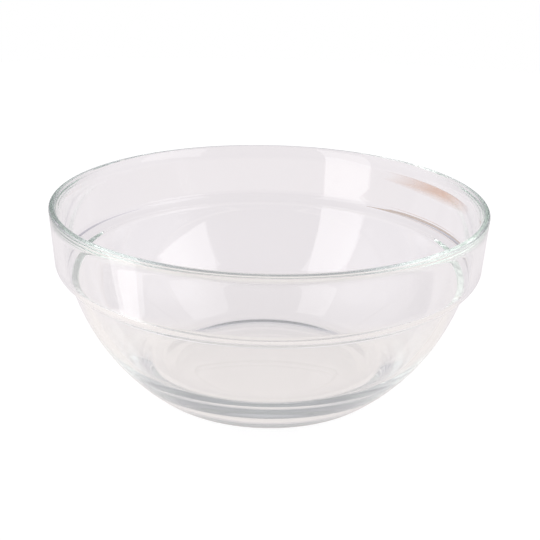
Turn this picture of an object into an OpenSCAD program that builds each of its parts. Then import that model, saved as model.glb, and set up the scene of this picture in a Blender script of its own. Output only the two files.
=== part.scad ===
// Stacking salad bowl in clear pressed glass: an upright band with a rounded rim, a stacking
// shoulder with a matching ledge inside, a round lower wall and a heavy flat base.
// Millimetres. The origin is the middle of the base on the table, and +Z is the bowl's own axis.

/* [Rim and band] */
// Outer diameter over the rim
rim_d = 230; // [200:1:270]
// Overall height, from the table to the top of the rim
height = 104; // [90:0.5:125]
// Height of the band, from the shoulder's corner to the top of the rim
band_h = 32.3; // [20:0.1:45]
// How much smaller the band's radius is at the shoulder than at the rim
band_taper = 1.5; // [0.2:0.1:5]
// Glass thickness of the band
band_wall = 5.2; // [4:0.1:7]
// Thickness of the rim, which is rounded right over
rim_t = 3.6; // [2.5:0.1:4]
// Rounding of the lip, which thins the band inside towards the rim
lip_round = 16; // [10:0.5:30]

/* [Stacking shoulder] */
// How far the crease under the shoulder lies in from the band
shoulder_in = 6.5; // [5:0.1:10]
// How far the crease lies below the shoulder's corner
shoulder_drop = 5; // [3:0.1:8]
// Rounding of the shoulder's outer corner
shoulder_round = 5.8; // [1:0.1:9]
// Rounding of the crease, where the shoulder meets the lower wall
crease_round = 1.5; // [0.5:0.1:3]
// Glass thickness between the shoulder and the ledge inside
ledge_wall = 3.4; // [2.5:0.1:5]
// Rounding of the hollow corner above the ledge
ledge_corner_round = 4; // [1:0.1:8]
// Rounding of the ledge's inner edge
ledge_edge_round = 3; // [1:0.1:4]

/* [Lower wall] */
// Radius of the lower wall's outer curve, seen in section
wall_curve_r = 116; // [105:1:170]
// Glass thickness of the lower wall
lower_wall = 4.8; // [3:0.1:7]

/* [Base] */
// Diameter of the flat that the bowl stands on
base_d = 119; // [100:1:140]
// Rounding of the heel, between the base and the lower wall
heel_round = 16; // [4:0.5:20]
// Glass thickness of the base, from the table to the floor inside
base_t = 8; // [5:0.1:13]
// Rounding inside, between the floor and the lower wall
floor_round = 56; // [25:0.5:70]
// Width of the flat ring that touches the table
foot_w = 9; // [4:0.5:20]
// Rise of the shallow dome inside that ring
foot_hollow = 0.6; // [0.3:0.1:2.5]

/* [Hidden] */
$fn = 180;

// How far a straight step of a rounded outline may lie from the true arc
arc_fineness = 0.02;

function unit(v) = v / norm(v);
// The direction a quarter turn to the left of v
function left(v) = [-v[1], v[0]];
// Where the line from p along u meets the line from q along v
function meet(p, u, q, v) = p + u * ((q - p) * left(v)) / (u * left(v));
// The foot of the perpendicular from q on the line from p along the unit vector u
function foot_on(p, u, q) = p + u * ((q - p) * u);
// The point at distance r from o on the line from p along the unit vector u, the farther one along u
function reach(p, u, o, r) = foot_on(p, u, o) + u * sqrt(r * r - pow(norm(foot_on(p, u, o) - o), 2));
// The bearing of p seen from c, in degrees
function bearing(c, p) = atan2(p[1] - c[1], p[0] - c[0]);
// Number of straight steps in an arc
function arc_steps(r, sweep) = max(2, ceil(abs(sweep) / (2 * acos(1 - arc_fineness / r))));
// Points of the arc about c that starts at the bearing a, the last one left out where skip is 1
function arc(c, r, a, sweep, skip = 0) =
    let (n = arc_steps(r, sweep))
    [for (i = [0 : n - skip]) c + r * [cos(a + sweep * i / n), sin(a + sweep * i / n)]];

// Outside, from the rim down: the band is a straight line from the rim's rounding to the shoulder
rim_r = rim_t / 2;
rim_c = [rim_d / 2 - rim_r, height - rim_r];
shoulder_p = [rim_d / 2 - band_taper, height - band_h];
crease_p = shoulder_p - [shoulder_in, shoulder_drop];
to_rim = rim_c - shoulder_p;
band_turn = atan2(to_rim[1], to_rim[0]) - asin(rim_r / norm(to_rim));
band_up = [cos(band_turn), sin(band_turn)];
band_in = left(band_up);
under_in = unit(crease_p - shoulder_p);
under_up = -left(under_in);
band_out_a = band_turn - 90;
under_out_a = bearing([0, 0], -under_up);

// Centre of the rounding of the shoulder's corner
shoulder_c = meet(shoulder_p + band_in * shoulder_round, band_up,
                  shoulder_p + under_up * shoulder_round, under_in);

// The lower wall's curve passes through the crease and runs smoothly into the heel
heel_c = [base_d / 2, heel_round];
heel_to_crease = crease_p - heel_c;
heel_swing = wall_curve_r - heel_round;
heel_along = (heel_to_crease * heel_to_crease + pow(heel_swing, 2) - pow(wall_curve_r, 2))
             / (2 * norm(heel_to_crease));
wall_c = heel_c + unit(heel_to_crease) * heel_along
         + left(unit(heel_to_crease)) * sqrt(pow(heel_swing, 2) - pow(heel_along, 2));
heel_a = bearing(wall_c, heel_c);

// The crease's rounding has its centre in the air, against the underside and the wall
crease_c = reach(shoulder_p - under_up * crease_round, -under_in, wall_c, wall_curve_r + crease_round);
crease_a = bearing(wall_c, crease_c);

// Inside, from the rim down: the lip's rounding touches the rim's and the band's inner line
lip_c = reach(rim_c + band_in * (band_wall - rim_r - lip_round), -band_up, rim_c, lip_round - rim_r);
lip_a = bearing(lip_c, rim_c);

// The ledge runs along the shoulder's underside, a wall away from it
inner_r = wall_curve_r - lower_wall;
ledge_p = shoulder_p + under_up * ledge_wall;
ledge_corner_p = meet(shoulder_p + band_in * band_wall, band_up, ledge_p, under_in);
ledge_corner_c = meet(ledge_corner_p + band_in * ledge_corner_round, band_up,
                      ledge_corner_p + under_up * ledge_corner_round, under_in);
ledge_edge_c = reach(ledge_p - under_up * ledge_edge_round, -under_in, wall_c, inner_r + ledge_edge_round);
ledge_edge_a = bearing(wall_c, ledge_edge_c);

// The floor's rounding touches the floor and the lower wall
floor_rise = base_t + floor_round;
floor_swing = inner_r - floor_round;
floor_c = [wall_c[0] + sqrt(pow(floor_swing, 2) - pow(floor_rise - wall_c[1], 2)), floor_rise];
floor_a = bearing(wall_c, floor_c);

// The dome under the base runs from the axis down to the ring
foot_hollow_r = base_d / 2 - foot_w;
dome_r = (pow(foot_hollow_r, 2) + pow(foot_hollow, 2)) / (2 * foot_hollow);
dome_c = [0, foot_hollow - dome_r];
dome_a = bearing(dome_c, [foot_hollow_r, 0]);

// Section of the base outside: the shallow dome, the ring and the heel
base_outline = concat(
    arc(dome_c, dome_r, 90, dome_a - 90),
    arc(heel_c, heel_round, -90, heel_a + 90, 1));

// Section of the outside, from the heel up to the rim
outside_outline = concat(
    arc(wall_c, wall_curve_r, heel_a, crease_a - heel_a, 1),
    arc(crease_c, crease_round, crease_a + 180, under_out_a - crease_a),
    arc(shoulder_c, shoulder_round, under_out_a, band_out_a - under_out_a));

// Section of the rim, rounded right over, and of the lip inside it
rim_outline = concat(
    arc(rim_c, rim_r, band_out_a, lip_a - band_out_a, 1),
    arc(lip_c, lip_round, lip_a, band_out_a + 180 - lip_a));

// Section of the inside, from the ledge down to the middle of the floor
inside_outline = concat(
    arc(ledge_corner_c, ledge_corner_round, band_out_a, under_out_a - band_out_a),
    arc(ledge_edge_c, ledge_edge_round, under_out_a + 180, ledge_edge_a - under_out_a, 1),
    arc(wall_c, inner_r, ledge_edge_a, floor_a - ledge_edge_a, 1),
    arc(floor_c, floor_round, floor_a, -90 - floor_a),
    [[0, base_t]]);

// The bowl, one piece of clear pressed glass
module bowl() {
    color([0.86, 0.9, 0.89, 0.45])
        rotate_extrude()
            polygon(concat(base_outline, outside_outline, rim_outline, inside_outline));
}

bowl();
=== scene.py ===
"""Dresses a stacking salad bowl in clear pressed glass and sets it on a pale floor in soft studio light.

The section repeats the construction's named sizes in millimetres; everything in the scene is in metres.
"""
import logging
import math
from dataclasses import dataclass, field
from enum import Enum

import bpy
from mathutils import Matrix, Vector, noise


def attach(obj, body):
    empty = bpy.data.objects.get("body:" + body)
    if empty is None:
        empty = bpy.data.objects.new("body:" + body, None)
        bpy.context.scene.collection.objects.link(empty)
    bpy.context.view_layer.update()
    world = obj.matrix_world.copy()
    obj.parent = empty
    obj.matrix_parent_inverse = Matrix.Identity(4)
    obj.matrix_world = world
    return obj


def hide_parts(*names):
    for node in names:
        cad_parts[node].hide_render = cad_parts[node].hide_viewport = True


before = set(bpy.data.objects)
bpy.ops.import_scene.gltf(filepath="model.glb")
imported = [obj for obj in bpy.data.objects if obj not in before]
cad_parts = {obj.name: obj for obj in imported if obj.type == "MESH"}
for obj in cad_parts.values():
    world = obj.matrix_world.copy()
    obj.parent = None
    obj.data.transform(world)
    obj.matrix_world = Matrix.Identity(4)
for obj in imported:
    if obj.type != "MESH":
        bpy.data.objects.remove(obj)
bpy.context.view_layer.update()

MM = 0.001
# Surfaces that a ray may pass before it is given up; it winds through many in thick glass
BOUNCES = 160
# Sockets of a Mix node set to colour, by number, because several of them share a name
MIX_SHARE, MIX_FROM, MIX_TO, MIX_RESULT = 0, 6, 7, 2
LOG = logging.getLogger("salad_bowl")


class Face(Enum):
    """Which mould tool shaped a stretch of the glass."""

    MOULD = "outside, shaped by the mould"
    PLUNGER = "inside, shaped by the plunger"


def linear(hex_colour: str) -> tuple[float, float, float, float]:
    """Turn an sRGB hex colour into linear light.

    Args:
        hex_colour: The colour as #RRGGBB.

    Returns:
        Linear red, green and blue, then an alpha of 1.
    """
    channels = [int(hex_colour[i:i + 2], 16) / 255.0 for i in (1, 3, 5)]
    red, green, blue = (c / 12.92 if c <= 0.04045 else ((c + 0.055) / 1.055) ** 2.4 for c in channels)
    return red, green, blue, 1.0


def add_node(tree: bpy.types.NodeTree, kind: str, settings: dict, links: dict) -> bpy.types.Node:
    """Add one shader node with its settings and incoming links.

    Args:
        tree: The node tree to add to.
        kind: The node's Blender type name.
        settings: Values by input name or number, or by property name where no input has it.
        links: Source sockets by input name or number.

    Returns:
        The new node.
    """
    node = tree.nodes.new(kind)
    for name, value in settings.items():
        if isinstance(name, int) or name in node.inputs:
            node.inputs[name].default_value = value
        else:
            setattr(node, name, value)
    for name, source in links.items():
        tree.links.new(source, node.inputs[name])
    return node


def unit_at(degrees: float) -> Vector:
    """Return the unit vector at a bearing in the section's plane."""
    return Vector((math.cos(math.radians(degrees)), math.sin(math.radians(degrees))))


def left(way: Vector) -> Vector:
    """Return the direction a quarter turn to the left."""
    return Vector((-way.y, way.x))


def bearing(centre: Vector, point: Vector) -> float:
    """Return the bearing of a point seen from a centre, in degrees."""
    return math.degrees(math.atan2(point.y - centre.y, point.x - centre.x))


def meet(start: Vector, way: Vector, other: Vector, other_way: Vector) -> Vector:
    """Find where two lines cross.

    Args:
        start: A point on the first line.
        way: The first line's direction.
        other: A point on the second line.
        other_way: The second line's direction.

    Returns:
        The crossing point.
    """
    side = left(other_way)
    return start + way * ((other - start).dot(side) / way.dot(side))


def reach(start: Vector, way: Vector, centre: Vector, radius: float) -> Vector:
    """Find the farther point of a line that lies at a distance from a centre.

    Args:
        start: A point on the line.
        way: The line's unit direction.
        centre: The centre that the distance is taken from.
        radius: The distance.

    Returns:
        The point, the farther one along the direction.
    """
    foot = start + way * (centre - start).dot(way)
    return foot + way * math.sqrt(radius ** 2 - (foot - centre).length_squared)


@dataclass(frozen=True)
class SectionPoint:
    """One point of the bowl's section, with the way the glass faces there."""

    place: Vector
    facing: Vector
    face: Face


@dataclass(frozen=True)
class Arc:
    """A round stretch of the section, with the glass on its inner or its outer side."""

    centre: Vector
    radius: float
    start: float
    sweep: float
    face: Face
    hollow: bool = False

    def points(self, spacing: float, turn: float) -> list[SectionPoint]:
        """Place points along the arc.

        Args:
            spacing: The widest step along the arc, in millimetres.
            turn: The widest step round the arc, in degrees.

        Returns:
            The points, both ends included.
        """
        length = math.radians(abs(self.sweep)) * self.radius
        steps = max(math.ceil(length / spacing), math.ceil(abs(self.sweep) / turn))
        outward = [unit_at(self.start + self.sweep * i / steps) for i in range(steps + 1)]
        sign = -1.0 if self.hollow else 1.0
        return [SectionPoint(self.centre + way * self.radius, way * sign, self.face) for way in outward]


@dataclass(frozen=True)
class BowlSection:
    """The bowl's section, from the same sizes as the construction, in millimetres."""

    rim_d: float = 230.0
    height: float = 104.0
    band_h: float = 32.3
    band_taper: float = 1.5
    band_wall: float = 5.2
    rim_t: float = 3.6
    lip_round: float = 16.0
    shoulder_in: float = 6.5
    shoulder_drop: float = 5.0
    shoulder_round: float = 5.8
    crease_round: float = 1.5
    ledge_wall: float = 3.4
    ledge_corner_round: float = 4.0
    ledge_edge_round: float = 3.0
    wall_curve_r: float = 116.0
    lower_wall: float = 4.8
    base_d: float = 119.0
    heel_round: float = 16.0
    base_t: float = 8.0
    floor_round: float = 56.0
    foot_w: float = 9.0
    foot_hollow: float = 0.6
    # Widest steps between the mesh's points, and how near two points are taken for one
    point_spacing: float = 2.6
    point_turn: float = 3.0
    point_touch: float = 0.0026

    def arcs(self) -> list[Arc]:
        """Work out the round stretches in order, from the heel over the rim to the floor.

        Returns:
            The arcs, each running smoothly into the next, directly or by a straight stretch.
        """
        rim_r = self.rim_t / 2
        rim_c = Vector((self.rim_d / 2 - rim_r, self.height - rim_r))
        shoulder_p = Vector((self.rim_d / 2 - self.band_taper, self.height - self.band_h))
        crease_p = shoulder_p - Vector((self.shoulder_in, self.shoulder_drop))
        to_rim = rim_c - shoulder_p
        band_turn = bearing(shoulder_p, rim_c) - math.degrees(math.asin(rim_r / to_rim.length))
        band_up = unit_at(band_turn)
        band_in = left(band_up)
        under_in = (crease_p - shoulder_p).normalized()
        under_up = -left(under_in)
        band_out_a = band_turn - 90
        under_out_a = bearing(Vector((0, 0)), -under_up)
        shoulder_c = meet(shoulder_p + band_in * self.shoulder_round, band_up,
                          shoulder_p + under_up * self.shoulder_round, under_in)

        heel_c = Vector((self.base_d / 2, self.heel_round))
        heel_to_crease = crease_p - heel_c
        heel_swing = self.wall_curve_r - self.heel_round
        heel_along = ((heel_to_crease.length_squared + heel_swing ** 2 - self.wall_curve_r ** 2)
                      / (2 * heel_to_crease.length))
        heel_way = heel_to_crease.normalized()
        heel_aside = math.sqrt(heel_swing ** 2 - heel_along ** 2)
        wall_c = heel_c + heel_way * heel_along + left(heel_way) * heel_aside
        heel_a = bearing(wall_c, heel_c)
        crease_c = reach(shoulder_p - under_up * self.crease_round, -under_in,
                         wall_c, self.wall_curve_r + self.crease_round)
        crease_a = bearing(wall_c, crease_c)

        lip_c = reach(rim_c + band_in * (self.band_wall - rim_r - self.lip_round), -band_up,
                      rim_c, self.lip_round - rim_r)
        lip_a = bearing(lip_c, rim_c)
        inner_r = self.wall_curve_r - self.lower_wall
        ledge_p = shoulder_p + under_up * self.ledge_wall
        corner_p = meet(shoulder_p + band_in * self.band_wall, band_up, ledge_p, under_in)
        corner_c = meet(corner_p + band_in * self.ledge_corner_round, band_up,
                        corner_p + under_up * self.ledge_corner_round, under_in)
        edge_c = reach(ledge_p - under_up * self.ledge_edge_round, -under_in,
                       wall_c, inner_r + self.ledge_edge_round)
        edge_a = bearing(wall_c, edge_c)
        floor_rise = self.base_t + self.floor_round
        floor_swing = inner_r - self.floor_round
        floor_c = Vector((wall_c.x + math.sqrt(floor_swing ** 2 - (floor_rise - wall_c.y) ** 2), floor_rise))
        floor_a = bearing(wall_c, floor_c)

        out, inside = Face.MOULD, Face.PLUNGER
        return [
            Arc(heel_c, self.heel_round, -90, heel_a + 90, out),
            Arc(wall_c, self.wall_curve_r, heel_a, crease_a - heel_a, out),
            Arc(crease_c, self.crease_round, crease_a + 180, under_out_a - crease_a, out, hollow=True),
            Arc(shoulder_c, self.shoulder_round, under_out_a, band_out_a - under_out_a, out),
            Arc(rim_c, rim_r, band_out_a, 90 - band_out_a, out),
            Arc(rim_c, rim_r, 90, lip_a - 90, inside),
            Arc(lip_c, self.lip_round, lip_a, band_out_a + 180 - lip_a, inside),
            Arc(corner_c, self.ledge_corner_round, band_out_a, under_out_a - band_out_a, inside, hollow=True),
            Arc(edge_c, self.ledge_edge_round, under_out_a + 180, edge_a - under_out_a, inside),
            Arc(wall_c, inner_r, edge_a, floor_a - edge_a, inside, hollow=True),
            Arc(floor_c, self.floor_round, floor_a, -90 - floor_a, inside, hollow=True),
        ]

    def hollow_under_base(self) -> Arc:
        """Work out the shallow dome under the base, from the axis to the ring that it stands on.

        Returns:
            The dome, its glass above it.
        """
        edge = Vector((self.base_d / 2 - self.foot_w, 0))
        radius = (edge.x ** 2 + self.foot_hollow ** 2) / (2 * self.foot_hollow)
        centre = Vector((0, self.foot_hollow - radius))
        return Arc(centre, radius, 90, bearing(centre, edge) - 90, Face.MOULD, hollow=True)

    def straight(self, start: SectionPoint, end: SectionPoint) -> list[SectionPoint]:
        """Place points along a straight stretch, without its ends.

        Args:
            start: The point that the stretch leaves from.
            end: The point that it runs to.

        Returns:
            The points between them, facing as the stretch does.
        """
        run = end.place - start.place
        steps = math.ceil(run.length / self.point_spacing)
        shares = [i / steps for i in range(1, steps)]
        return [SectionPoint(start.place + run * share, start.facing.lerp(end.facing, share), end.face)
                for share in shares]

    def outline(self) -> list[SectionPoint]:
        """Place all points of the section, from the middle of the underside to the middle of the floor.

        Returns:
            The points in order; the first and the last lie on the axis.
        """
        line = self.hollow_under_base().points(self.point_spacing, self.point_turn)
        floor_middle = SectionPoint(Vector((0, self.base_t)), Vector((0, 1)), Face.PLUNGER)
        for arc in self.arcs():
            points = arc.points(self.point_spacing, self.point_turn)
            if (points[0].place - line[-1].place).length < self.point_touch:
                points = points[1:]
            line += self.straight(line[-1], points[0]) + points
        return line + self.straight(line[-1], floor_middle) + [floor_middle]


@dataclass(frozen=True)
class PressedGlass:
    """Clear soda-lime glass, pressed in a mould and fire-polished."""

    name: str = "pressed_soda_lime_glass"
    tint: str = "#FFFFFF"
    ior: float = 1.52
    # Iron in the melt takes red first: clear across one wall, green along the rim
    depth_tint: str = "#A9D9B4"
    depth_density: float = 0.8
    # Haze of handling, in patches as wide as a thumb; it starts and is full at these levels of the noise
    haze_patch_mm: float = 22.0
    haze_detail: float = 3.0
    haze_from: float = 0.45
    haze_full: float = 0.8
    haze_low: float = 0.0
    haze_high: float = 0.01
    # Skin of the fire polish, fine waves left when the surface melts and sets
    skin_wave_mm: float = 7.0
    skin_detail: float = 1.0
    skin_depth_mm: float = 0.0008

    def material(self) -> bpy.types.Material:
        """Make the glass as a material.

        Returns:
            A material with clear refraction, faint haze, a melted skin and a depth tint.
        """
        material = bpy.data.materials.new(self.name)
        material.use_nodes = True
        tree = material.node_tree
        tree.nodes.clear()
        place = add_node(tree, "ShaderNodeTexCoord", {}, {}).outputs["Object"]
        patches = add_node(tree, "ShaderNodeTexNoise",
                           {"Scale": 1 / (self.haze_patch_mm * MM), "Detail": self.haze_detail},
                           {"Vector": place})
        haze = add_node(tree, "ShaderNodeMapRange",
                        {"From Min": self.haze_from, "From Max": self.haze_full,
                         "To Min": self.haze_low, "To Max": self.haze_high},
                        {"Value": patches.outputs["Fac"]})
        waves = add_node(tree, "ShaderNodeTexNoise",
                         {"Scale": 1 / (self.skin_wave_mm * MM), "Detail": self.skin_detail},
                         {"Vector": place})
        skin = add_node(tree, "ShaderNodeBump", {"Strength": 1.0, "Distance": self.skin_depth_mm * MM},
                        {"Height": waves.outputs["Fac"]})
        glass = add_node(tree, "ShaderNodeBsdfPrincipled",
                         {"Base Color": linear(self.tint), "IOR": self.ior, "Transmission Weight": 1.0},
                         {"Roughness": haze.outputs["Result"], "Normal": skin.outputs["Normal"]})
        depth = add_node(tree, "ShaderNodeVolumeAbsorption",
                         {"Color": linear(self.depth_tint), "Density": self.depth_density}, {})
        add_node(tree, "ShaderNodeOutputMaterial", {},
                 {"Surface": glass.outputs["BSDF"], "Volume": depth.outputs["Volume"]})
        return material


@dataclass(frozen=True)
class PaleFloor:
    """Matt pale board, clean white to the camera and a shade under white seen through the glass."""

    name: str = "matt_pale_board"
    colour: str = "#F3F0F0"
    # Share and level of the even white that the camera sees; the rest keeps the shadow
    seen_share: float = 0.72
    seen_level: float = 1.25
    seen_colour: str = "#FFFFFF"
    # The same for what is seen in and through the glass, with a painted shade: darker behind a line across
    # the floor at the back of the bowl, lighter and a little warmer on the camera's side of it
    glass_share: float = 0.80
    glass_level: float = 1.0
    painted_shade_rear_colour: str = "#F7F2F4"
    unshaded_front_colour: str = "#FDF7F4"
    # Where that line is, behind the bowl's axis, and how soft
    rear_from: float = 0.06
    front_from: float = 0.02

    def material(self) -> bpy.types.Material:
        """Make the board as a material.

        Returns:
            A matt material, evened out for what the camera and the glass see, with a painted shade behind the
            bowl in what the glass sees.
        """
        material = bpy.data.materials.new(self.name)
        material.use_nodes = True
        tree = material.node_tree
        tree.nodes.clear()
        path = add_node(tree, "ShaderNodeLightPath", {}, {})
        seen = path.outputs["Is Camera Ray"]
        glassy = {0: path.outputs["Is Glossy Ray"], 1: path.outputs["Is Transmission Ray"]}
        in_glass = add_node(tree, "ShaderNodeMath", {"operation": "MAXIMUM"}, glassy).outputs["Value"]

        def by_ray(for_camera: float, for_glass: float) -> bpy.types.NodeSocket:
            """Return a value by ray: one for the camera, one for the glass and nought for the rest."""
            part = add_node(tree, "ShaderNodeMath", {"operation": "MULTIPLY", 1: for_glass}, {0: in_glass})
            return add_node(tree, "ShaderNodeMath", {"operation": "MULTIPLY_ADD", 1: for_camera},
                            {0: seen, 2: part.outputs["Value"]}).outputs["Value"]

        board = add_node(tree, "ShaderNodeBsdfDiffuse", {"Color": linear(self.colour)}, {})
        place = add_node(tree, "ShaderNodeTexCoord", {}, {}).outputs["Object"]
        depth = add_node(tree, "ShaderNodeSeparateXYZ", {}, {"Vector": place}).outputs["Y"]
        # Painted shade: the floor seen in the glass is darker behind the bowl and lighter and a little warmer
        # towards the camera
        unshaded_share = add_node(tree, "ShaderNodeMapRange",
                         {"From Min": self.rear_from, "From Max": self.front_from}, {"Value": depth})
        # The tone that the glass sees, carrying the painted shade behind the bowl
        through = add_node(tree, "ShaderNodeMix",
                           {"data_type": "RGBA", MIX_FROM: linear(self.painted_shade_rear_colour),
                            MIX_TO: linear(self.unshaded_front_colour)},
                           {MIX_SHARE: unshaded_share.outputs["Result"]})
        tone = add_node(tree, "ShaderNodeMix", {"data_type": "RGBA", MIX_TO: linear(self.seen_colour)},
                        {MIX_SHARE: seen, MIX_FROM: through.outputs[MIX_RESULT]})
        even = add_node(tree, "ShaderNodeEmission", {},
                        {"Color": tone.outputs[MIX_RESULT],
                         "Strength": by_ray(self.seen_level, self.glass_level)})
        both = add_node(tree, "ShaderNodeMixShader", {},
                        {0: by_ray(self.seen_share, self.glass_share),
                         1: board.outputs["BSDF"], 2: even.outputs["Emission"]})
        add_node(tree, "ShaderNodeOutputMaterial", {}, {"Surface": both.outputs["Shader"]})
        return material


@dataclass
class Bowl:
    """The bowl as one fine turned mesh, with the slight unevenness of pressed glass."""

    section: BowlSection = field(default_factory=BowlSection)
    finish: PressedGlass = field(default_factory=PressedGlass)
    segments: int = 360
    # Waves left by the mould and the plunger, each with its own place in the noise
    wave_mm: float = 26.0
    wave_depth_mm: float = 0.012
    mould_shift_mm: float = 200.0

    def unevenness(self, place: Vector, face: Face) -> float:
        """Tell how far the glass stands proud of the true form.

        Args:
            place: A point on the true form, in millimetres.
            face: The tool that shaped it; the two sides wave apart.

        Returns:
            The height along the way the glass faces, in millimetres.
        """
        shift = Vector((0, 0, self.mould_shift_mm if face is Face.MOULD else 0.0))
        return self.wave_depth_mm * noise.noise((place + shift) / self.wave_mm)

    def mesh(self) -> bpy.types.Mesh:
        """Turn the section round the axis.

        Returns:
            A closed mesh in metres.
        """
        outline = self.section.outline()
        vertices = [outline[0].place.y * Vector((0, 0, MM))]
        for point in outline[1:-1]:
            for step in range(self.segments):
                turn = 2 * math.pi * step / self.segments
                round_way = Vector((math.cos(turn), math.sin(turn), 0))
                place = round_way * point.place.x + Vector((0, 0, point.place.y))
                facing = round_way * point.facing.x + Vector((0, 0, point.facing.y))
                place += facing * self.unevenness(place, point.face)
                vertices.append(Vector((place.x, place.y, max(place.z, 0.0))) * MM)
        vertices.append(outline[-1].place.y * Vector((0, 0, MM)))

        rings = len(outline) - 2
        last = len(vertices) - 1
        faces = []
        for step in range(self.segments):
            beside = (step + 1) % self.segments
            faces.append((0, 1 + beside, 1 + step))
            for ring in range(rings - 1):
                low, high = 1 + ring * self.segments, 1 + (ring + 1) * self.segments
                faces.append((low + step, low + beside, high + beside, high + step))
            top = 1 + (rings - 1) * self.segments
            faces.append((top + step, top + beside, last))
        mesh = bpy.data.meshes.new("pressed_bowl")
        mesh.from_pydata(vertices, [], faces)
        mesh.polygons.foreach_set("use_smooth", [True] * len(mesh.polygons))
        mesh.update()
        return mesh

    def build(self) -> bpy.types.Object:
        """Make the bowl, dress it and set it in its node's place.

        Returns:
            The finished piece.
        """
        piece = bpy.data.objects.new("pressed_bowl", self.mesh())
        bpy.context.scene.collection.objects.link(piece)
        piece.data.materials.append(self.finish.material())
        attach(piece, "root")
        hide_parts("bowl")
        return piece


@dataclass(frozen=True)
class Panel:
    """A flat soft lamp, seen in the glass but not by the camera."""

    name: str
    centre: tuple[float, float, float]
    target: tuple[float, float, float]
    size: tuple[float, float]
    colour: str
    radiance: float

    def build(self) -> bpy.types.Object:
        """Hang the lamp.

        Returns:
            The lamp, turned to face its target.
        """
        data = bpy.data.lights.new(self.name, "AREA")
        data.shape = "RECTANGLE"
        data.size, data.size_y = self.size
        data.color = linear(self.colour)[:3]
        data.energy = self.radiance * math.pi * self.size[0] * self.size[1]
        lamp = bpy.data.objects.new(self.name, data)
        bpy.context.scene.collection.objects.link(lamp)
        lamp.location = self.centre
        lamp.rotation_euler = (Vector(self.target) - Vector(self.centre)).to_track_quat("-Z", "Y").to_euler()
        lamp.visible_camera = False
        return lamp


@dataclass(frozen=True)
class Card:
    """A matt wood-coloured card on the floor behind the bowl, seen in the glass but not by the camera."""

    name: str
    centre: tuple[float, float, float]
    size: tuple[float, float]
    turn: float
    colour: str
    # Share of the floor under it that it hides, and share of its half width that its edge fades over
    cover: float
    fade: float = 0.01
    # Mottle of stained wood: its width, and its darkest and lightest share of the colour
    grain_mm: float = 9.0
    grain_detail: float = 2.0
    grain_low: float = 0.85
    grain_high: float = 1.1

    def material(self) -> bpy.types.Material:
        """Make the card's matt face, a little uneven in tone and partly sheer.

        Returns:
            A diffuse material with a soft mottle and a fading edge.
        """
        material = bpy.data.materials.new(self.name)
        material.use_nodes = True
        tree = material.node_tree
        tree.nodes.clear()
        place = add_node(tree, "ShaderNodeTexCoord", {}, {}).outputs["Object"]
        mottle = add_node(tree, "ShaderNodeTexNoise",
                          {"Scale": 1 / (self.grain_mm * MM), "Detail": self.grain_detail}, {"Vector": place})
        level = add_node(tree, "ShaderNodeMapRange", {"To Min": self.grain_low, "To Max": self.grain_high},
                         {"Value": mottle.outputs["Fac"]})
        tone = add_node(tree, "ShaderNodeVectorMath", {"operation": "SCALE", 0: linear(self.colour)[:3]},
                        {"Scale": level.outputs["Result"]})
        face = add_node(tree, "ShaderNodeBsdfDiffuse", {}, {"Color": tone.outputs["Vector"]})
        share = add_node(tree, "ShaderNodeVectorMath",
                         {"operation": "MULTIPLY", 1: (2 / self.size[0], 2 / self.size[1], 0.0)}, {0: place})
        aside = add_node(tree, "ShaderNodeVectorMath", {"operation": "ABSOLUTE"},
                         {0: share.outputs["Vector"]})
        across = add_node(tree, "ShaderNodeSeparateXYZ", {}, {"Vector": aside.outputs["Vector"]})
        outward = add_node(tree, "ShaderNodeMath", {"operation": "MAXIMUM"},
                           {0: across.outputs["X"], 1: across.outputs["Y"]})
        hidden = add_node(tree, "ShaderNodeMapRange",
                          {"From Min": 1.0, "From Max": 1.0 - self.fade, "To Min": 0.0, "To Max": self.cover},
                          {"Value": outward.outputs["Value"]})
        sheer = add_node(tree, "ShaderNodeBsdfTransparent", {}, {})
        both = add_node(tree, "ShaderNodeMixShader", {},
                        {0: hidden.outputs["Result"], 1: sheer.outputs["BSDF"], 2: face.outputs["BSDF"]})
        add_node(tree, "ShaderNodeOutputMaterial", {}, {"Surface": both.outputs["Shader"]})
        return material

    def build(self) -> bpy.types.Object:
        """Lay the card in its place.

        Returns:
            The card, hidden from the camera, from diffuse light and from shadow.
        """
        half_x, half_y = self.size[0] / 2, self.size[1] / 2
        mesh = bpy.data.meshes.new(self.name)
        corners = [(-half_x, -half_y, 0), (half_x, -half_y, 0), (half_x, half_y, 0), (-half_x, half_y, 0)]
        mesh.from_pydata(corners, [], [tuple(range(len(corners)))])
        mesh.materials.append(self.material())
        card = bpy.data.objects.new(self.name, mesh)
        bpy.context.scene.collection.objects.link(card)
        card.location = self.centre
        card.rotation_euler = (0, 0, math.radians(self.turn))
        card.visible_camera = card.visible_diffuse = card.visible_shadow = False
        return card


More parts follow.
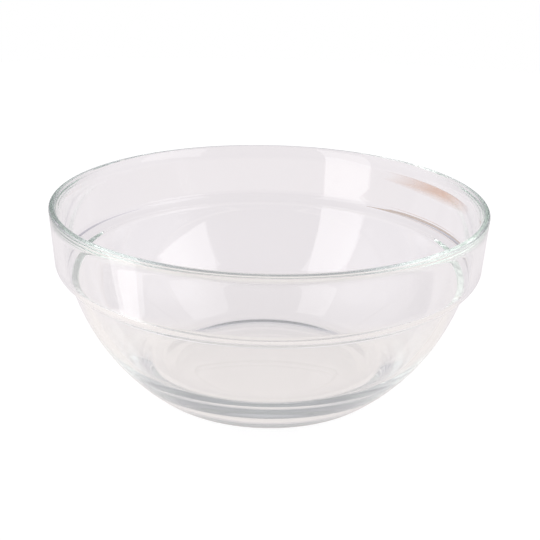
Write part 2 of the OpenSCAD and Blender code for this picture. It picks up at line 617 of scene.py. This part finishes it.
@dataclass
class Studio:
    """The floor, the light tent round it, the lamps and the cards."""

    floor: PaleFloor = field(default_factory=PaleFloor)
    floor_radius: float = 1.2
    floor_sides: int = 96
    # How far the floor lies under the base, so that their faces don't meet
    floor_drop: float = 0.05 * MM
    # Tone of the tent by height, from its elevation in degrees
    heights: tuple[tuple[float, str], ...] = (
        (-90, "#E6E4E9"), (-2, "#E6E4E9"), (2, "#B4B5BE"), (10, "#BEBEC6"), (20, "#D0D0D6"), (37, "#D6D6DC"),
        (52, "#D6D6DC"), (66, "#A8A8AC"), (90, "#848489"))
    # Share of that tone by quarter, from the bearing in degrees off straight back, the same on both sides
    quarters: tuple[tuple[float, str], ...] = (
        (0, "#C5C3C5"), (16, "#B6B4B7"), (26, "#A3A1A4"), (44, "#9D9B9E"), (56, "#B2B0B3"), (70, "#FAFAFA"),
        (110, "#FFFFFF"), (130, "#BDBBBE"), (150, "#9D9B9E"), (180, "#9D9B9E"))
    quarter_gain: float = 1.7
    # Turn from straight back to where Blender's radial gradient starts
    quarter_turn: float = -90.0
    # Sine of the elevation where the quarters start to fade, and where they are gone
    overhead_from: float = 0.82
    overhead_full: float = 0.95
    tent_strength: float = 1.0
    # What the camera itself sees behind the floor
    backdrop_colour: str = "#FFFFFF"
    panels: tuple[Panel, ...] = (
        Panel("window_panel", (-0.21, -0.11, 0.185), (-0.18, 0.19, 0.185), (0.195, 0.37), "#FFFFFF", 1.45),
        Panel("side_softbox", (0.80, -0.40, 0.78), (0.0, -0.40, 0.78), (0.78, 0.84), "#FFFFFF", 1.12),
    )
    cards: tuple[Card, ...] = (
        Card("rear_wood", (0.46, 0.88, 0.0003), (0.56, 0.44), 0.0, "#C79E70", cover=0.55),
        Card("wood_edge", (0.174, 0.363, 0.0003), (0.15, 0.042), -58.0, "#FFC79E", cover=0.7, fade=0.9),
    )

    def build_floor(self) -> bpy.types.Object:
        """Lay the floor.

        Returns:
            The floor.
        """
        turns = [2 * math.pi * i / self.floor_sides for i in range(self.floor_sides)]
        edge = [(self.floor_radius * math.cos(turn), self.floor_radius * math.sin(turn), -self.floor_drop)
                for turn in turns]
        mesh = bpy.data.meshes.new("studio_floor")
        mesh.from_pydata(edge, [], [tuple(range(self.floor_sides))])
        floor = bpy.data.objects.new("studio_floor", mesh)
        bpy.context.scene.collection.objects.link(floor)
        mesh.materials.append(self.floor.material())
        return floor

    @staticmethod
    def fill(node: bpy.types.Node, stops: list[tuple[float, str]]) -> None:
        """Set a colour ramp's stops.

        Args:
            node: The ramp's node.
            stops: Places from 0 to 1 in order, each with its colour.
        """
        ramp = node.color_ramp
        while len(ramp.elements) < len(stops):
            ramp.elements.new(1.0)
        for element, (place, colour) in zip(ramp.elements, stops):
            element.position = place
            element.color = linear(colour)

    def build_tent(self) -> bpy.types.World:
        """Hang the light tent, brightest half-way up and at the sides, and darker overhead.

        Returns:
            The world that lights the scene.
        """
        world = bpy.data.worlds.new("light_tent")
        bpy.context.scene.world = world
        world.use_nodes = True
        tree = world.node_tree
        tree.nodes.clear()
        way = add_node(tree, "ShaderNodeTexCoord", {}, {}).outputs["Generated"]
        rise = add_node(tree, "ShaderNodeSeparateXYZ", {}, {"Vector": way}).outputs["Z"]
        slot = add_node(tree, "ShaderNodeMapRange", {"From Min": -1.0, "From Max": 1.0}, {"Value": rise})
        tone = add_node(tree, "ShaderNodeValToRGB", {}, {"Fac": slot.outputs["Result"]})
        self.fill(tone, [((math.sin(math.radians(high)) + 1) / 2, colour) for high, colour in self.heights])
        turned = add_node(tree, "ShaderNodeMapping", {"Rotation": (0, 0, math.radians(self.quarter_turn))},
                          {"Vector": way})
        round_way = add_node(tree, "ShaderNodeTexGradient", {"gradient_type": "RADIAL"},
                             {"Vector": turned.outputs["Vector"]})
        quarter = add_node(tree, "ShaderNodeValToRGB", {}, {"Fac": round_way.outputs["Fac"]})
        right_side = [(0.5 - turn / 360, colour) for turn, colour in reversed(self.quarters)]
        left_side = [(0.5 + turn / 360, colour) for turn, colour in self.quarters[1:]]
        self.fill(quarter, right_side + left_side)
        gain = add_node(tree, "ShaderNodeVectorMath", {"operation": "SCALE", "Scale": self.quarter_gain},
                        {0: quarter.outputs["Color"]})
        aside = add_node(tree, "ShaderNodeMapRange",
                         {"From Min": self.overhead_from, "From Max": self.overhead_full,
                          "To Min": 1.0, "To Max": 0.0},
                         {"Value": rise})
        share = add_node(tree, "ShaderNodeMix", {"data_type": "RGBA", MIX_FROM: linear("#FFFFFF")},
                         {MIX_SHARE: aside.outputs["Result"], MIX_TO: gain.outputs["Vector"]})
        cloth = add_node(tree, "ShaderNodeMix",
                         {"data_type": "RGBA", "blend_type": "MULTIPLY", MIX_SHARE: 1.0},
                         {MIX_FROM: tone.outputs["Color"], MIX_TO: share.outputs[MIX_RESULT]})
        path = add_node(tree, "ShaderNodeLightPath", {}, {})
        seen = add_node(tree, "ShaderNodeMix", {"data_type": "RGBA", MIX_TO: linear(self.backdrop_colour)},
                        {MIX_SHARE: path.outputs["Is Camera Ray"], MIX_FROM: cloth.outputs[MIX_RESULT]})
        tent = add_node(tree, "ShaderNodeBackground", {"Strength": self.tent_strength},
                        {"Color": seen.outputs[MIX_RESULT]})
        add_node(tree, "ShaderNodeOutputWorld", {}, {"Surface": tent.outputs["Background"]})
        return world

    def build(self) -> None:
        """Set up the floor, the tent, the lamps and the cards."""
        self.build_floor()
        self.build_tent()
        for panel in self.panels:
            lamp = panel.build()
            LOG.info("%s: %.2f W", lamp.name, lamp.data.energy)
        for card in self.cards:
            LOG.info("%s: stage card", card.build().name)


@dataclass(frozen=True)
class StudioCamera:
    """The camera at the photograph's viewing angle."""

    lens_mm: float = 60.0
    sensor_mm: float = 36.0
    elevation: float = 21.55
    distance: float = 0.4952
    aim_height: float = 0.060
    aim_right: float = 0.112
    aim_up: float = 0.148
    roll: float = 1.24
    clip_start: float = 0.01

    def build(self) -> bpy.types.Object:
        """Place the camera and make it the scene's own.

        Returns:
            The camera.
        """
        data = bpy.data.cameras.new("studio_camera")
        data.lens = self.lens_mm
        data.sensor_width = self.sensor_mm
        data.sensor_fit = "HORIZONTAL"
        data.clip_start = self.clip_start
        camera = bpy.data.objects.new("studio_camera", data)
        bpy.context.scene.collection.objects.link(camera)
        turn = (Matrix.Rotation(math.radians(90 - self.elevation), 4, "X")
                @ Matrix.Rotation(math.radians(-self.aim_right), 4, "Y")
                @ Matrix.Rotation(math.radians(self.aim_up), 4, "X")
                @ Matrix.Rotation(math.radians(self.roll), 4, "Z"))
        tilt = math.radians(self.elevation)
        back = Vector((0, -math.cos(tilt), math.sin(tilt)))
        aim = Vector((0, 0, self.aim_height))
        camera.matrix_world = Matrix.Translation(aim + back * self.distance) @ turn
        bpy.context.scene.camera = camera
        return camera


def set_light_paths() -> None:
    """Let light pass the many surfaces of thick glass before it is given up."""
    cycles = bpy.context.scene.cycles
    cycles.max_bounces = cycles.glossy_bounces = cycles.transmission_bounces = BOUNCES


def main() -> None:
    """Build the bowl, the studio and the camera."""
    logging.basicConfig(level=logging.INFO, format="%(name)s: %(message)s")
    bpy.context.scene.view_settings.view_transform = "Standard"
    set_light_paths()
    StudioCamera().build()
    Studio().build()
    bowl = Bowl().build()
    LOG.info("%s: %d faces", bowl.name, len(bowl.data.polygons))


if __name__ == "__main__":
    main()
